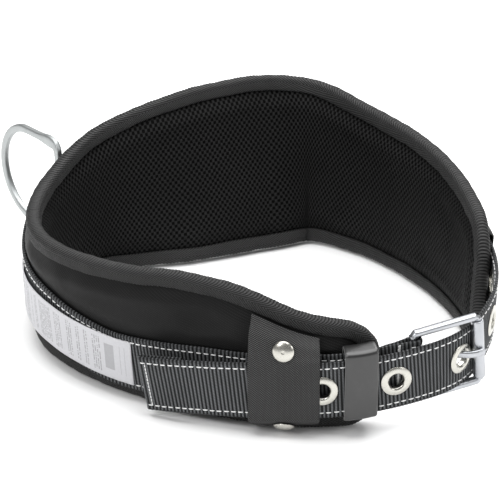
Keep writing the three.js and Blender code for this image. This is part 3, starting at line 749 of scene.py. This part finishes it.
def makeBinding():
    line, along = padOutline(binding["step"])
    run = np.roll(line, -1, axis=0) - np.roll(line, 1, axis=0)
    run /= np.linalg.norm(run, axis=1)[:, None]
    inward = np.stack([run[:, 1], -run[:, 0]], 1)
    lap = pad["lap"] + 0.5 * drift(along / 21, seed=3)
    flat = np.linspace(1, 0, binding["columns"])[:-1]
    angle = np.linspace(math.pi / 2, -math.pi / 2, 9)
    crest, reach = binding["crest"], binding["core"] + binding["face"] + binding["thick"]
    outerFace = [(1, f, None) for f in flat]
    overEdge = [(0, 0, a) for a in angle]
    innerFace = [(-1, f, None) for f in flat[::-1]]
    rows = []
    for side, share, turn in outerFace + overEdge + innerFace:
        if turn is None:
            d = crest + (lap - crest) * share
            out = side * (reach + 0.35 * math.sin(math.pi * share) - 0.75 * (share > 0.94)) + 0 * lap
            norm = np.array([0.0, side])
        else:
            d, out = crest * (1 - math.cos(turn)) + 0 * lap, reach * math.sin(turn) + 0 * lap
            norm = unit(np.array([-math.cos(turn) * reach, math.sin(turn) * crest]))
        q = (d + 1.6 * abs(share)) * (side or math.sin(turn))
        fold = np.abs(np.abs(q) - binding["midTape"])
        rib = 0.5 + 0.5 * np.sin(2 * np.pi * (along + binding["slant"] * fold) / tapePitch)
        pucker = binding["pucker"] * drift(along / 5.5, np.abs(q) / 9, 7)
        rows.append((d, out, q, norm, binding["relief"] * rib + pucker))
    d, out, q = (np.stack([row[k] for row in rows], 1) for k in range(3))
    norm = np.stack([row[3] for row in rows])
    lift = np.stack([row[4] for row in rows], 1)

    def surface(extra):
        inside, outside = d + norm[:, 0] * extra, out + norm[:, 1] * extra
        s = line[:, :1] + inward[:, :1] * inside
        u = line[:, 1:] + inward[:, 1:] * inside
        return place(s, pad["mid"] + outside, u)

    built = slab(surface(lift - binding["relief"]), surface(0 * d - binding["thick"]), loopRows=True)
    spots = spotGrid(along[:, None], q)
    makePiece("padBinding", built, tapeLook, "belt", ["pad_binding"], spots)
    print("binding made")


makeBinding()

# Webbing with its stitches and eyelets

eyelets = {
    "first": 66, "pitch": 49.8, "count": 5, "outer": 11.1,
    # turned profiles of (radius, height over the middle of the strap)
    "front": [
        (5.75, -2.2), (6.45, -2.2), (6.45, 1.4), (11.1, 1.4), (11.15, 1.6), (10.8, 1.85), (9.6, 2.25),
        (8.3, 2.5), (7.2, 2.45), (6.4, 2.1), (5.9, 1.6), (5.75, 1.0)],
    "back": [(6.85, -1.4), (6.85, -2.1), (7.6, -2.4), (9.2, -2.35), (10.5, -1.9), (10.8, -1.4)],
}
eyeletSpots = [loopLength + eyelets["first"] - k * eyelets["pitch"] for k in range(eyelets["count"])]
eyeletCentres = [onStrap(spot)[0] for spot in eyeletSpots]
heel = beltFrame(np.array([0.0]))


# The strap's middle line: fold round the heel bar, once round the pad, and the tail with its turned end.
def strapPath():
    def fold(s, out):
        return np.concatenate([place(s, out, 0.0).reshape(3), beltFrame(np.array([float(s)]))[2][0]])

    controls = [fold(25, 4.5), fold(14, 4.6), fold(8, 5.8)]
    r = strap["fold"]
    for a in np.radians(np.arange(65, 301, 16.8)):
        controls.append(fold(math.cos(a) * r, beltLine["heelOut"] + math.sin(a) * r))
    controls.append(fold(8, 0.6))
    s = np.concatenate([[14, 20, 26], np.arange(32, loopLength + 187, 6)])
    controls += list(np.concatenate(strapAt(s), axis=1))
    at, run, across, face = onStrap(loopLength + strap["tip"])
    turn = strap["thick"] / 2 + 0.25
    for a in np.radians(np.arange(0, 181, 30)):
        bend = at + run * (math.sin(a) * turn - turn) + face * (math.cos(a) * turn - turn)
        controls.append(np.concatenate([bend, across]))
    for back in (182, 172, 159):
        at, run, across, face = onStrap(loopLength + back)
        controls.append(np.concatenate([at - face * 2 * turn, across]))
    path, along = resample(controls, strap["step"])
    run = unit(np.gradient(path[:, :3], axis=0))
    across = unit(path[:, 3:] - run * (path[:, 3:] * run).sum(1)[:, None])
    return path[:, :3], run, across, np.cross(across, run), along


pathPoints, pathRun, pathAcross, pathFace, pathAlong = strapPath()
stitch = {
    "pitch": 5.3, "dash": 3.8, "wide": 0.5, "proud": 0.42, "edge": 4.45, "wobble": 0.18,
    "start": 24.0, "end": 34,
    "tailGap": 4.5, "tailPitch": 2.9, "tailDash": 2.7,
    "bartack": {"pitch": 0.62, "reach": 21.2, "dash": 1.3, "slant": 0.22, "wide": 0.42, "proud": 0.4},
}
stitchRow = strap["width"] / 2 - stitch["edge"]
stitchLift = strap["thick"] / 2 - 0.1


def makeStrap():
    halfWide, half = strap["width"] / 2, strap["thick"] / 2
    rim = np.array([0.93, 0.97, 0.992, 1])
    w = np.concatenate([-rim[::-1], np.linspace(-0.88, 0.88, 23), rim]) * halfWide
    rib = (0.5 + 0.5 * np.cos(2 * np.pi * pathAlong / ribPitch)) ** 0.7
    worn = 0.09 * drift(pathAlong[:, None] / 3.1, w[None] / 2.3, 1)
    groove = 0.22 * np.exp(-(((np.abs(w) - (halfWide - stitch["edge"])) / 0.9) ** 2))
    height = half - strap["relief"] * (1 - rib[:, None]) + worn - groove
    lip = np.clip((halfWide - np.abs(w)) / 1.3, 0, 1)
    height = height * np.sqrt(1 - (1 - lip) ** 2 * 0.93)
    wide = w * (1 + 0.006 * rib[:, None] + 0.004 * drift(pathAlong / 17, seed=4)[:, None])
    middle = pathPoints[:, None] + pathAcross[:, None] * wide[..., None]
    front, back = (middle + pathFace[:, None] * (k * height)[..., None] for k in (1, -1))
    centre = (middle[1:, 1:] + middle[:-1, :-1]) / 2
    keep = np.ones(centre.shape[:2], bool)
    for spot in eyeletSpots:
        at, run, across, face = onStrap(spot)
        offset = centre - at
        lift = offset @ face
        away = np.linalg.norm(offset - lift[..., None] * face, axis=-1)
        keep &= ~((away < 7.9) & (np.abs(lift) < 3.5))
    # the slot in the fold that the tongue's eye comes through
    fromHeel = np.linalg.norm(centre[:, 14] - place(-0.5, beltLine["heelOut"], 0.0).reshape(3), axis=1)
    inFold = (pathAlong[:-1] < 42) & (fromHeel < 8.8)
    inSlot = np.abs(w[1:] + w[:-1]) / 2 < 5.3
    keep &= ~(inFold[:, None] & inSlot[None])
    spots = spotGrid(pathAlong[:, None], w[None])
    makePiece("mainStrap", slab(front, back, keep), webbingLook, "belt", ["main_strap"], spots)
    print("strap made")


makeStrap()


# Thread runs: each dash is a small pillow from one needle hole to the next, sunk at its ends.
def dashes(lines, wide, proud):
    rings, n = [], 8
    a = np.arange(n) * 2 * np.pi / n
    for at, along, side, face in lines:
        t = np.linspace(-1, 1, 7)
        arch = np.sqrt(np.maximum(1 - t**4, 0))
        centre = at + along * t[:, None] + face * (arch * proud - proud * 0.75)[:, None]
        size = wide * (0.35 + 0.65 * arch)
        rings.append(centre[:, None] + side * (np.cos(a) * size[:, None])[..., None]
                     + face * (np.sin(a) * size[:, None] * 0.7)[..., None])
    points, faces, base = [], [], 0
    _, pattern = tube(rings[0])
    for ring in rings:
        points.append(ring.reshape(-1, 3))
        faces += [[base + k for k in quad] for quad in pattern]
        base += ring.shape[0] * n
    return np.concatenate(points), faces


def strapStitches():
    lines = []
    stops = np.arange(stitch["start"], pathAlong[-1] - stitch["end"], stitch["pitch"])
    index = np.clip(np.searchsorted(pathAlong, stops), 3, len(pathAlong) - 4)
    for k in index:
        for across in (-stitchRow, stitchRow):
            wobble = stitch["wobble"] * float(drift(pathAlong[k] / 9, across, 3))
            for side in (1, -1):
                at = pathPoints[k] + pathAcross[k] * (across + wobble) + pathFace[k] * stitchLift * side
                gap = min(np.linalg.norm(at - middle) for middle in eyeletCentres)
                if gap > eyelets["outer"] + 0.6:
                    lines.append((at, pathRun[k] * stitch["dash"] / 2, pathAcross[k], pathFace[k] * side))
    return lines


def tailStitches():
    lines = []
    dash = stitch["tailDash"]
    at, _, across, face = onStrap(loopLength + strap["tip"] - stitch["tailGap"])
    for w in np.arange(-stitchRow + dash / 2, stitchRow, stitch["tailPitch"]):
        lines.append((at + across * w + face * stitchLift, across * dash / 2, np.cross(across, face), face))
    return lines


# A dense zigzag across the strap, behind the fold.
def bartackStitches():
    lines = []
    tack = stitch["bartack"]
    at = place(12.5, 4.6, 0.0).reshape(3)
    _, face, across, run = (direction[0] for direction in heel)
    for k, w in enumerate(np.arange(-tack["reach"], tack["reach"] + 0.1, tack["pitch"])):
        lean = tack["slant"] if k % 2 else -tack["slant"]
        slant = unit(run + across * lean) * tack["dash"]
        lines.append((at + across * w + face * stitchLift, slant, across, face))
    return lines


def makeStitches():
    built = dashes(strapStitches() + tailStitches(), stitch["wide"], stitch["proud"])
    makePiece("strapStitching", built, thread, "belt")
    tack = stitch["bartack"]
    makePiece("heelBartack", dashes(bartackStitches(), tack["wide"], tack["proud"]), thread, "belt")
    print("stitches made")


makeStitches()


def smoothProfile(profile, step):
    flat = np.array([(x, y, 0) for x, y in profile], float)
    line, _ = resample(flat, step, loop=True)
    return line[:, :2]


for k, spot in enumerate(eyeletSpots, 1):
    at, run, across, face = onStrap(spot)
    for side, node in (("front", "grommet"), ("back", "grommet_washer")):
        name = "eyelet" + side.capitalize() + str(k)
        built = lathe(smoothProfile(eyelets[side], 0.32), at, face)
        makePiece(name, built, nickelLook, "belt", [f"{node}_{k}"])
print("eyelets made")

# Patches over the strap

patch = {"thick": 1.1, "wrap": (67.5, 114.5), "wrapStep": 0.9, "plyStep": 1.6, "sleeveStep": 1.5}


# A strip with a section of (out, up) points across the belt, run from one place along it to another.
def crossStrip(section, span, thick, step, roundEdge, looped=False, ripple=0.0, seed=0):
    count = max(int((span[1] - span[0]) / step), 4)
    columns = np.linspace(span[0], span[1], count + 1)
    lines = []
    length = None
    for s in columns:
        points = section(s) if callable(section) else section
        line, _ = resample(np.array([(out, up, 0) for out, up in points], float), step, loop=looped)
        length = length or len(line)
        if len(line) != length:
            t = np.linspace(0, len(line) - 1, length)
            line = np.stack([np.interp(t, np.arange(len(line)), line[:, k]) for k in range(3)], 1)
        lines.append(line[:, :2])
    grid = np.stack(lines, 1)
    run = np.roll(grid, -1, 0) - np.roll(grid, 1, 0) if looped else np.gradient(grid, axis=0)
    run /= np.linalg.norm(run, axis=-1)[..., None]
    normal = np.stack([-run[..., 1], run[..., 0]], -1)
    s = np.broadcast_to(columns[None], grid.shape[:2])
    along = np.concatenate([[0], np.cumsum(np.linalg.norm(np.diff(grid[:, 0], axis=0), axis=1))])
    lift = ripple * drift(s / 11, along[:, None] / 8, seed)
    edge = np.minimum(s - span[0], span[1] - s)
    depth = np.clip(edge / roundEdge, 0, 1)
    pinch = np.sqrt(np.clip(1 - (1 - depth) ** 2, 0.12, 1))
    faces = []
    for k in (-1, 1):
        move = (k * thick / 2 * pinch + lift)[..., None] * normal
        faces.append(place(s, grid[..., 0] + move[..., 0], grid[..., 1] + move[..., 1]))
    built = slab(faces[0], faces[1], loopRows=looped)
    rim = np.where(edge < 0.05, 1.0, 0.0)
    front = np.stack([s, along[:, None] + 0 * s, rim], -1).reshape(-1, 3)
    return built, np.concatenate([front, front])


def wrapTop(s):
    return float(edgeTop(np.array([s]))[0]) - pad["lap"] - 1.2


def outerPly(s):
    top = wrapTop(s)
    fall = [(0, 1), (0.12, 2.6), (0.3, 8), (0.45, 10), (0.75, 12), (1, 13.8)]
    return [(out, top - t * (top - 21)) for t, out in fall] + [
        (14.5, 8), (14.5, -20), (13.6, -24.9), (7.6, -29.8), (1.8, -34.6)]


def innerPly(s):
    top = wrapTop(s)
    return [(1, top - 9), (1.9, top - 11.5), (4.6, 24.6), (5, 22), (5, -22), (3.6, -26), (0.8, -30.5)]


def makeWrap():
    low, high = patch["wrap"]
    built, spots = crossStrip(
        outerPly, (low, high), patch["thick"], patch["wrapStep"], 1.2, ripple=0.16, seed=2)
    flap = makePiece("wrapFlap", built, wrapLook, "flap", ["wrap_flap"], spots)
    built, spots = crossStrip(innerPly, (low + 11, high - 2), patch["thick"], patch["plyStep"], 1.0)
    ply = makePiece("wrapInnerPly", built, wrapLook, "belt", ["wrap_inner_ply"], spots)


makeWrap()

sleeve = [(0.95, 27), (3.9, 25.2), (4.0, 20), (4.0, -20), (3.9, -25.2), (0.95, -27)]
sleeveSpans = {"backSleeve": ("back_sleeve", (600, 660)), "sideSleeve": ("side_sleeve", (826, 866))}
for name, (node, span) in sleeveSpans.items():
    built, spots = crossStrip(sleeve, span, patch["thick"], patch["sleeveStep"], 1.0, ripple=0.1, seed=6)
    cover = makePiece(name, built, wrapLook, "belt", [node], spots)

careLabel = {
    "along": (206, 345), "tall": 36, "thick": 0.6,
    "up": [(204, 3.5), (230, 5.5), (255, 8), (285, 10.5), (320, 10.5), (345, 10)],
}


def makeLabel():
    low, high = careLabel["along"]
    s = np.linspace(low, high, 110)[:, None]
    w = np.linspace(-0.5, 0.5, 27)[None] * careLabel["tall"]
    out = 3.5 + 2 * np.sin(math.pi * (s - low) / (high - low)) + 0.14 * drift(s / 15, w / 9, 4)
    half = careLabel["thick"] / 2
    up = w + readTable(careLabel["up"], s, 6)
    built = slab(place(s, out + half, up), place(s, out - half, up))
    label = makePiece("careLabel", built, labelLook(), "belt", ["care_label"], spotGrid(s, w))


makeLabel()

snaps = {
    "cap": [
        (0.02, -0.9), (1.3, -0.9), (1.3, 0.85), (6.8, 0.85), (7.6, 0.9), (7.8, 1.25), (7.55, 1.75),
        (6.6, 2.45), (5.2, 3.05), (3.4, 3.5), (1.6, 3.7), (0.02, 3.72)],
    "stud": [(0.02, 0), (4.4, 0), (4.4, 0.7), (2.7, 1.1), (2.7, 3), (2.3, 3.4), (0.02, 3.4)],
    "upper": {"out": 11.4, "up": 31, "tilt": -13}, "lower": {"out": 8.2, "up": -30.4, "tilt": 49},
    "upperStud": {"out": 3.9, "up": 30, "tilt": -13}, "lowerStud": {"out": 2.9, "up": -28.6, "tilt": 32},
    "studHeight": {"upper": 1.0, "lower": 0.6},
}


def snapFrame(spot):
    s = sum(patch["wrap"]) / 2
    _, out, up, _ = beltFrame(np.array([s]))
    tilt = math.radians(spot["tilt"])
    return place(s, spot["out"], spot["up"]).reshape(3), out[0] * math.cos(tilt) - up[0] * math.sin(tilt)


for where in ("upper", "lower"):
    at, face = snapFrame(snaps[where])
    built = lathe(snaps["cap"], at, face, 64)
    makePiece("snapCap" + where.capitalize(), built, nickelLook, "flap", ["snap_cap_" + where])
    at, face = snapFrame(snaps[where + "Stud"])
    built = lathe([(r, h * snaps["studHeight"][where]) for r, h in snaps["stud"]], at, face, 32)
    makePiece("snapStud" + where.capitalize(), built, nickelLook, "belt", ["snap_stud_" + where])
print("wrap, label and snaps made")

# Keeper

keeper = {
    "along": 40.5, "width": 22, "back": 1.35, "front": 14.9, "low": -26.4, "tall": 55, "thick": 1.9,
    "bend": 2.6, "crown": 0.9,
}


def makeKeeper():
    low, high = keeper["low"], keeper["low"] + keeper["tall"] - keeper["thick"]
    back, front, bend = keeper["back"], keeper["front"], keeper["bend"]
    half = keeper["width"] / 2

    def section(s):
        crown = keeper["crown"] * (1 - ((s - keeper["along"]) / half) ** 2)
        near = front + crown
        return [
            (back, low + bend), (back + bend, low), (front - bend, low), (near - 0.8, low + 0.8),
            (near, low + bend), (near + 0.35, low / 2), (near + 0.5, 0), (near + 0.35, high / 2),
            (near, high - bend), (near - 0.8, high - 0.8), (front - bend, high), (back + bend, high),
            (back, high - bend), (back, 12), (back, -12)]

    span = (keeper["along"] - half, keeper["along"] + half)
    built, spots = crossStrip(section, span, keeper["thick"], 0.9, 0.7, looped=True, ripple=0.05, seed=9)
    makePiece("keeperLoop", built, leather, "keeper", ["keeper_loop"], spots)


makeKeeper()

# Buckle: x from the heel bar to the roller, y out, z up

buckle = {
    "rollerAlong": -46.6, "rollerOut": 9.9, "rollerUp": 1.6, "half": 26.3, "corner": 4.2, "bar": 2.5,
    "roller": 4.5, "bore": 3.05, "rollerInset": 3.2, "side": (2.4, 3.15), "tongueWide": 2.7,
    # along, out and half thickness of the tongue, from its eye to its point
    "tongue": [
        (3.2, -1.6, 1.0), (3.9, 0.4, 1.0), (2.8, 2.8, 1.0), (0, 3.95, 1.0), (-2.8, 2.8, 1.0), (-3.95, 0, 1.0),
        (-2.8, -2.8, 1.0), (0, -3.95, 1.0), (4.4, -3.9, 1.2), (9, -3.2, 1.55), (16, -3.1, 1.65),
        (22, -3.2, 1.65), (27, -2.2, 1.65), (31, -0.5, 1.65), (34, 1, 1.65), (37, 2.9, 1.65), (40, 4.8, 1.65),
        (43, 6, 1.65), (46.6, 6.5, 1.65), (50, 6.3, 1.5), (52.2, 5.95, 1.0), (52.9, 5.8, 0.5)],
}
rollerPoint = place(buckle["rollerAlong"], buckle["rollerOut"], buckle["rollerUp"]).reshape(3)
buckleReach = np.linalg.norm(rollerPoint - heelPoint)
buckleX = (rollerPoint - heelPoint) / buckleReach
buckleUp = beltFrame(np.array([buckle["rollerAlong"] / 2]))[2][0]
buckleUp = unit(buckleUp - buckleX * (buckleUp @ buckleX))
buckleOut = -np.cross(buckleUp, buckleX)


def inBuckle(x, out, z):
    return heelPoint + np.outer(x, buckleX) + np.outer(out, buckleOut) + np.outer(z, buckleUp)


def makeFrame():
    r, high, reach, bar = buckle["corner"], buckle["half"], buckleReach, buckle["bar"]
    line = []
    for x, z, start in ((reach, high, 0), (0, high, 90), (0, -high, 180), (reach, -high, 270)):
        cx, cz = x - math.copysign(r, x - 1), z - math.copysign(r, z)
        for a in np.radians(np.linspace(start, start + 90, 12)):
            line.append((cx + r * math.cos(a), cz + r * math.sin(a), 0))
    fine, _ = resample(line, 0.55, loop=True)
    x, z = fine[:, 0], fine[:, 1]
    onBar = easeBetween(np.minimum(np.abs(x), np.abs(x - reach)), 0.4, 3.0)
    halfSide = bar + (buckle["side"][0] - bar) * onBar
    halfOut = bar + (buckle["side"][1] - bar) * onBar
    run = np.roll(fine, -1, 0) - np.roll(fine, 1, 0)
    run = run / np.linalg.norm(run, axis=1)[:, None]
    side = np.outer(run[:, 1], buckleX) - np.outer(run[:, 0], buckleUp)
    lift = np.broadcast_to(buckleOut, side.shape)
    built = sweep(inBuckle(x, 0 * x, z), side, lift, halfSide, halfOut, 28, 3.2, loop=True)
    makePiece("buckleFrame", built, zincLook, "buckle", ["buckle_frame"])


def makeRoller():
    tall, outer, inner = buckle["half"] - buckle["rollerInset"], buckle["roller"], buckle["bore"]
    profile = [
        (inner, -tall), (outer - 0.6, -tall), (outer - 0.15, -tall + 0.2), (outer, -tall + 0.7), (outer, 0),
        (outer, tall - 0.7), (outer - 0.15, tall - 0.2), (outer - 0.6, tall), (inner, tall), (inner, 0)]
    built = lathe(profile, rollerPoint, buckleUp, 56)
    makePiece("buckleRoller", built, zincLook, "roller", ["buckle_roller"])


def makeTongue():
    line = np.array(buckle["tongue"])
    controls = np.column_stack([line[:, 0], line[:, 1], 0 * line[:, 0], line[:, 2]])
    fine, _ = resample(controls, 0.5)
    path = inBuckle(fine[:, 0], fine[:, 1], 0 * fine[:, 0])
    run = unit(np.gradient(path, axis=0))
    lift = unit(np.cross(run, buckleUp))
    wide = buckle["tongueWide"] * np.clip(0.55 + 0.45 * fine[:, 3], 0, 1.0)
    built = sweep(path, np.broadcast_to(buckleUp, path.shape), lift, wide, fine[:, 3], 24, 2.6)
    makePiece("buckleTongue", built, zincLook, "tongue", ["buckle_tongue"])


makeFrame()
makeRoller()
makeTongue()
print("buckle made")

# D-ring

ring = {
    "along": 441, "out": 4.1, "lift": 18.7, "swing": -13, "half": 36.8, "reach": 77,
    "flat": 2.5, "wide": 3.1, "shoulder": 1.7,
}


def makeRing():
    _, out, up, _ = beltFrame(np.array([float(ring["along"])]))
    out, up = out[0], up[0]
    a = math.radians(ring["swing"])
    reachOut = out * math.cos(a) + np.cross(up, out) * math.sin(a)
    half, bow = ring["half"], ring["reach"] - ring["half"]
    line = [(0, -30), (0, -16), (0, 0), (0, 16), (0, 30), (1.9, half - 2), (7, half), (bow - 2, half)]
    for a in np.radians(np.arange(75, -76, -18.75)):
        line.append((bow + math.cos(a) * half, math.sin(a) * half))
    line += [(bow - 2, -half), (7, -half), (1.9, 2 - half)]
    at = place(ring["along"], ring["out"], ring["lift"]).reshape(3)
    points = np.array([at + reachOut * x + up * z for x, z in line])
    path, _ = resample(points, 0.9, loop=True)
    run = unit(np.roll(path, -1, 0) - np.roll(path, 1, 0))
    flatwise = unit(np.cross(up, reachOut))
    side = unit(np.cross(run, flatwise))
    x, z = (path - at) @ reachOut, (path - at) @ up
    wide = ring["wide"] + ring["shoulder"] * np.exp(-(((x - 9) / 9) ** 2)) * easeBetween(np.abs(z), 28, 34)
    built = sweep(path, side, np.broadcast_to(flatwise, path.shape), wide, ring["flat"], 28, 3.0, loop=True)
    makePiece("dRing", built, ringLook, "ring", ["d_ring"])


makeRing()
print("hardware made")

# Stage: pale floor, soft lights and the camera

stage = {
    "elevation": 27.0, "distance": 3.0, "lens": 280.8, "sensor": 36.0,
    "floor": 0.93, "floorHalf": 6, "sky": 0.3,
    # place, size and power of each light
    "lights": {
        "overLight": ((0.0, 0.2, 2.3), 2.8, 105), "keyLight": ((-1.3, -1.5, 1.7), 0.9, 22),
        "rimLight": ((0.6, 1.7, 1.5), 1.0, 16), "fillLight": ((1.8, -0.9, 0.9), 0.7, 7)},
}


def makeStage():
    mesh = bpy.data.meshes.new("floor")
    half = stage["floorHalf"]
    corners = [(x * half, y * half, -0.0004) for x, y in ((-1, -1), (1, -1), (1, 1), (-1, 1))]
    mesh.from_pydata(corners, [], [(0, 1, 2, 3)])
    floor = bpy.data.objects.new("floor", mesh)
    bpy.context.scene.collection.objects.link(floor)
    look = Look("paleFloor")
    colour = look.mix(look.noise(3, 2), grey(stage["floor"] - 0.01), grey(stage["floor"]))
    mesh.materials.append(look.finish({"Base Color": colour, "Roughness": 0.9, "Specular IOR Level": 0.1}))
    world = bpy.data.worlds.new("sky")
    world.use_nodes = True
    world.node_tree.nodes["Background"].inputs[0].default_value = (1, 1, 1, 1)
    world.node_tree.nodes["Background"].inputs[1].default_value = stage["sky"]
    bpy.context.scene.world = world
    target = Vector(shift * mm)
    for name, (at, size, power) in stage["lights"].items():
        light = bpy.data.lights.new(name, "AREA")
        light.size, light.energy = size, power
        lamp = bpy.data.objects.new(name, light)
        lamp.location = at
        lamp.rotation_euler = (Vector((0, 0, 0.05)) - lamp.location).to_track_quat("-Z", "Y").to_euler()
        bpy.context.scene.collection.objects.link(lamp)
    lens = bpy.data.cameras.new("camera")
    lens.lens, lens.sensor_width = stage["lens"], stage["sensor"]
    lens.clip_start, lens.clip_end = 0.05, 50
    camera = bpy.data.objects.new("camera", lens)
    a = math.radians(stage["elevation"])
    camera.location = target + Vector((0, -math.cos(a), math.sin(a))) * stage["distance"]
    camera.rotation_euler = (target - camera.location).to_track_quat("-Z", "Y").to_euler()
    bpy.context.scene.collection.objects.link(camera)
    bpy.context.scene.camera = camera


makeStage()
bpy.context.scene.view_settings.view_transform = "Standard"
